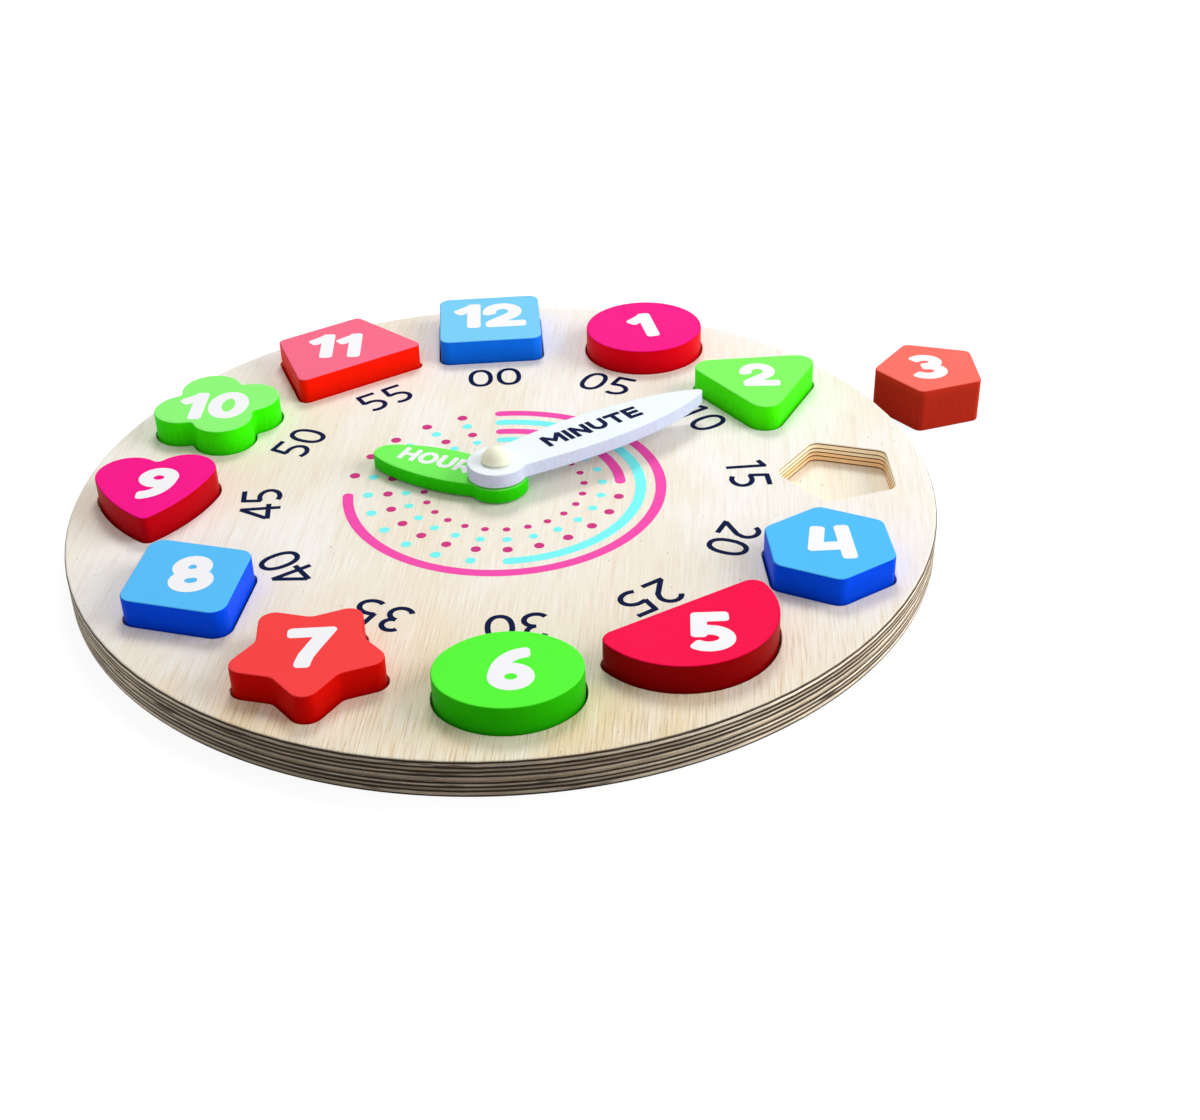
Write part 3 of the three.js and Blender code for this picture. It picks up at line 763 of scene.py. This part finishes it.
def printed(name, patches, surface, body, finish):
    """Joins patches in millimetres into one flat outline and raises it a little above a surface."""
    hulls = [anticlockwise(patch) for patch in patches]
    corners, faces = [], []
    for hull in hulls:
        faces.append(list(range(len(corners), len(corners) + len(hull))))
        corners += hull
    points, _, triangles, _, _, origins = delaunay_2d_cdt(corners, [], faces, 1, same_corner)
    shape = bmesh.new()
    floor = surface - film_sunk * mm
    placed = [shape.verts.new((p.x * mm, p.y * mm, floor)) for p in points]
    for triangle, origin in zip(triangles, origins):
        middle = sum((points[i] for i in triangle), Vector((0, 0))) / 3
        if any(covers(hulls[i], middle) for i in origin):
            shape.faces.new([placed[i] for i in triangle])
    bmesh.ops.delete(shape, geom=[v for v in shape.verts if not v.link_faces], context="VERTS")
    lifted = bmesh.ops.extrude_face_region(shape, geom=shape.faces[:])
    top = [v for v in lifted["geom"] if isinstance(v, bmesh.types.BMVert)]
    bmesh.ops.translate(shape, vec=(0, 0, (film_height + film_sunk) * mm), verts=top)
    bmesh.ops.recalc_face_normals(shape, faces=shape.faces)
    piece = finished(name, shape, body, finish, weighted=False)
    for face in piece.data.polygons:
        face.use_smooth = False
    print(name, "from", len(patches), "patches has", len(piece.data.polygons), "faces")
    return piece


print("pen ready")

# %% [markdown]
# ## Ink
# Screen-printed ink lies on the wood as a thin even film with a slight sheen. The wood below still
# shows as tiny gaps in the pale pink and turquoise, so their colour changes a little with fine noise.

# %% Ink
def ink(name, colour, unevenness=0.10):
    """A matt ink whose colour changes a little over the print."""
    film = Finish(name)
    grit = film.noise(film.place((1.0, 0.35, 1.0)), 0.8, 3.0, 0.6)
    cloud = film.noise(film.place(), 6.0, 2.0)
    tone = 1 - unevenness * 0.5 + unevenness * (0.6 * grit + 0.4 * cloud)
    return film.surface({
        "Base Color": film.tint(shade(*colour), tone),
        "Roughness": 0.5 + 0.1 * grit,
        "Specular IOR Level": 0.03,
        "Normal": film.bump(grit, 0.012),
    })


navy_ink = ink("navy_ink", (0, 16, 62))
pink_ink = ink("pink_ink", (250, 82, 178))
rose_ink = ink("rose_ink", (212, 60, 136))
turquoise_ink = ink("turquoise_ink", (126, 252, 252))
white_ink = ink("white_ink", (250, 250, 252), 0.05)
print("five inks")

# %% [markdown]
# ## Rings and dots
# Round the middle lie five rings that show parts of an hour: each starts as a solid band at twelve
# o'clock and goes on as dots, fifteen degrees apart. The bands stop after three quarters, a half, a
# quarter and an eighth. A screen print never sits quite true on its board, and this one lies two
# millimetres right of the peg and a little behind it. Radii and widths are shares of the board's
# radius.

# %% Rings and dots
board_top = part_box("top_board")[1].z
dial = board_radius / mm
rings_middle, dot_pitch, fine_step = Vector((2.0, 1.4)), 15, 3
rings = [  # radius, half width, how far the band goes clockwise, where the dots start, dot size, ink
    (0.3655, 0.0125, 270, 285, 0.0125, "pink"),
    (0.319, 0.0125, 180, 195, 0.0120, "turquoise"),
    (0.272, 0.0125, 90, 105, 0.0115, "pink"),
    (0.230, 0.0115, 45, 60, 0.0105, "turquoise"),
    (0.187, 0.0000, 0, 0, 0.0088, "pink"),
]
bands = {"pink": [], "turquoise": []}
dots = {"pink": [], "turquoise": []}
for radius, half, sweep, first, size, colour in rings:
    radius, half, size = radius * dial, half * dial, size * dial
    if sweep:
        over = degrees(half / radius)
        arc = bend(*rings_middle, radius, radius, 90 + over, 90 - sweep - over, step=fine_step)
        bands[colour] += stroke(arc, half, 0.95 * half)
    for angle in range(first, 360, dot_pitch):
        across = radians(angle)
        dots[colour].append(dot(rings_middle + radius * Vector((sin(across), cos(across))), size))
printed("pink_bands", bands["pink"], board_top, "board", pink_ink)
printed("pink_dots", dots["pink"], board_top, "board", rose_ink)
printed("turquoise_rings", bands["turquoise"] + dots["turquoise"], board_top, "board", turquoise_ink)

# %% [markdown]
# ## Minute numerals
# Twelve pairs of slim numerals count the minutes, with their tops outwards. Every figure has the same
# cell, so all pairs are equally wide. A figure is one unit tall, and the pen is a little over a tenth
# of that. These numerals were printed after the rings, and their circle lies a fraction of a millimetre
# off the rings' middle.

# %% Minute numerals
slim = {
    "0": [bend(0, 0.5, 0.273, 0.443, 90, 450, 2.25)],
    "1": [line((0.113, 0), (0.113, 1)), line((-0.16, 0.835), (0.13, 0.965))],
    "2": [bend(-0.02, 0.69, 0.255, 0.255, 155, -10) + line((0.18, 0.50), (-0.23, 0.055)),
          line((-0.27, 0.052), (0.30, 0.052))],
    "3": [bend(-0.02, 0.735, 0.22, 0.21, 150, -90), bend(-0.02, 0.29, 0.26, 0.235, 90, -150)],
    "4": [line((0.165, 0.99), (-0.31, 0.33)), line((-0.34, 0.30), (0.37, 0.30)),
          line((0.165, 0), (0.165, 1))],
    "5": [line((-0.25, 0.945), (0.28, 0.945)), line((-0.2, 0.96), (-0.235, 0.50)),
          line((-0.24, 0.53)) + bend(-0.05, 0.30, 0.30, 0.25, 100, -125)],
}
slim_height, slim_half, cell, numeral_ring, numeral_turn = 14.1, 0.065, 5.5, 85.5, 1.0
numeral_middle = Vector((2.25, 1.0))
numerals = []
for hour in range(12):
    turn = numeral_turn - 30 * hour
    outward = Vector((0, numeral_ring - slim_height / 2))
    middle = numeral_middle + Matrix.Rotation(radians(turn), 2) @ outward
    for figure, aside in zip(f"{5 * hour:02d}", (-cell, cell)):
        patches = [patch for points in slim[figure] for patch in stroke(points, slim_half, 0.0)]
        patches = moved(patches, slim_height, 0, (aside, 0))
        numerals += moved(patches, 1.0, turn, middle)
printed("minute_numerals", numerals, board_top, "board", navy_ink)

# %% [markdown]
# ## Block numerals
# The numerals on the blocks are fat and friendly, printed in white, each leaning its own way by a few
# degrees because the blocks were set down by hand. The pen is a quarter of the height and its ends are
# softly rounded.

# %% Block numerals
fat = {
    "0": [bend(0, 0.5, 0.24, 0.375, 90, 450)],
    "1": [line((0, 0), (0, 1)), line((0.03, 0.90), (-0.32, 0.625))],
    "2": [bend(-0.03, 0.637, 0.235, 0.235, 208, -38) + line((-0.25, 0.14)),
          line((-0.33, 0.13), (0.40, 0.13))],
    "3": [bend(-0.01, 0.70, 0.215, 0.175, 160, -90) + line((-0.09, 0.515)),
          line((-0.09, 0.515)) + bend(0, 0.32, 0.245, 0.195, 90, -160)],
    "4": [line((-0.14, 1.0), (-0.265, 0.395), (0.22, 0.395)), line((0.23, 0), (0.23, 1))],
    "5": [line((0.28, 0.88), (-0.17, 0.88), (-0.2, 0.365)), bend(-0.056, 0.333, 0.273, 0.211, 120, -150)],
    "6": [bend(0, 0.31, 0.213, 0.196, 90, 450), bend(0.25, 0.31, 0.46, 0.572, 180, 90, 2.15)],
    "7": [line((-0.34, 0.872), (0.237, 0.872), (0.079, 0.534), (-0.027, 0.292), (-0.066, 0.115),
               (-0.07, 0))],
    "8": [bend(-0.016, 0.691, 0.188, 0.187, 90, 450), bend(0.012, 0.32, 0.224, 0.198, 90, 450)],
}
fat["9"] = [[Vector((-p.x, 1 - p.y)) for p in points] for points in fat["6"]]
fat_half, fat_soft = 0.122, 0.07
block_numerals = {  # height, lean in degrees anticlockwise, place of each figure from the block's middle
    1: (21.2, 7.3, [("1", 2.0, 0.8)]),
    2: (18.6, -4.5, [("2", 0.1, 5.4)]),
    3: (20.0, -2.5, [("3", 0, 0)]),
    4: (20.0, -0.8, [("4", 0.4, -0.4)]),
    5: (20.3, -2.5, [("5", 5.6, -4.8)]),
    6: (20.9, -4.5, [("6", 1.15, -0.1)]),
    7: (20.7, -0.5, [("7", 0.3, 2.3)]),
    8: (21.1, -2.5, [("8", 1.7, 0.4)]),
    9: (21.0, -6.5, [("9", 1.2, 1.8)]),
    10: (20.9, -4.5, [("1", -6.5, -2.2), ("0", 4.8, -2.05)]),
    11: (20.9, -1.6, [("1", -8.4, 1.8), ("1", 2.5, 1.5)]),
    12: (22.2, -1.0, [("1", -6.4, 2.9), ("2", 5.7, 2.7)]),
}
for number, (height, lean, figures) in block_numerals.items():
    low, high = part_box(f"number_block_{number}")
    middle = (low + high) / 2 / mm
    patches = []
    for figure, aside, up in figures:
        drawn = [patch for points in fat[figure] for patch in stroke(points, fat_half, fat_soft)]
        patches += moved(drawn, height, 0, (aside, up - height / 2))
    patches = moved(patches, 1.0, lean, (middle.x, middle.y))
    numeral = printed(f"numeral_{number}", patches, high.z, f"block_{number}", white_ink)

# %% [markdown]
# ## Words on the hands
# Each hand says what it shows. The letters are capitals with one pen width. They are written along the
# blade: outwards on the minute hand, and inwards on the hour hand, so that both read upright for
# whoever sits in front. The line of letters lies a little above the middle of the blade. Each letter's
# width is in units of its height.

# %% Words on the hands
def letter(sign, width, half):
    """The strokes of a capital that is one unit tall, for a pen of a given half width."""
    right, middle, roof = width - half, width / 2, 1 - half
    if sign == "M":
        return [line((half, 0), (half, 1)), line((right, 0), (right, 1)),
                line((half * 0.8, 0.99), (middle, 0.42), (width - half * 0.8, 0.99))]
    if sign == "I":
        return [line((middle, 0), (middle, 1))]
    if sign == "N":
        return [line((half, 0), (half, 1)), line((right, 0), (right, 1)),
                line((half * 0.8, 0.97), (width - half * 0.8, 0.03))]
    if sign == "U":
        bowl = right - middle
        return [line((half, 1)) + bend(middle, half + bowl, bowl, bowl, 180, 360) + line((right, 1))]
    if sign == "T":
        return [line((0, roof), (width, roof)), line((middle, 0), (middle, 1))]
    if sign == "E":
        return [line((half, 0), (half, 1)), line((0, roof), (width, roof)),
                line((half, 0.5), (width * 0.94, 0.5)), line((0, half), (width, half))]
    if sign == "H":
        return [line((half, 0), (half, 1)), line((right, 0), (right, 1)), line((half, 0.5), (right, 0.5))]
    if sign == "O":
        return [bend(middle, 0.5, right - middle, 0.5 - half, 90, 450)]
    waist, turn_at = 0.40, width * 0.55
    bowl = (roof - waist) / 2
    round_bowl = bend(turn_at, roof - bowl, right - turn_at, bowl, 90, -90)
    return [line((half, 0), (half, 1)), line((0, roof)) + round_bowl + line((half, waist)),
            line((middle, 0.42), (width - half * 0.6, 0.0))]


def word(signs, height, half, soft, turn, above):
    """Letters along a line that is turned from three o'clock, each from one distance to another on it."""
    patches = []
    for sign, start, stop in signs:
        strokes = letter(sign, (stop - start) / height, half)
        drawn = [patch for points in strokes for patch in stroke(points, half, soft)]
        patches += moved(drawn, height, 0, (start, above - height / 2))
    return moved(patches, 1.0, turn)


minute_letters = [("M", 20.0, 28.3), ("I", 29.1, 30.9), ("N", 31.8, 38.4), ("U", 39.2, 46.0),
                  ("T", 46.7, 53.6), ("E", 54.3, 60.3)]
hour_letters = [("H", -39.4, -32.8), ("O", -32.2, -24.9), ("U", -24.4, -18.0), ("R", -17.2, -10.9)]
minute_word = word(minute_letters, height=7.4, half=0.122, soft=0.03, turn=30.0, above=0.7)
hour_word = word(hour_letters, height=8.2, half=0.117, soft=0.05, turn=-29.0, above=1.4)
printed("minute_word", minute_word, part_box("minute_hand")[1].z, "minute_hand", navy_ink)
written = printed("hour_word", hour_word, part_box("hour_hand")[1].z, "hour_hand", white_ink)
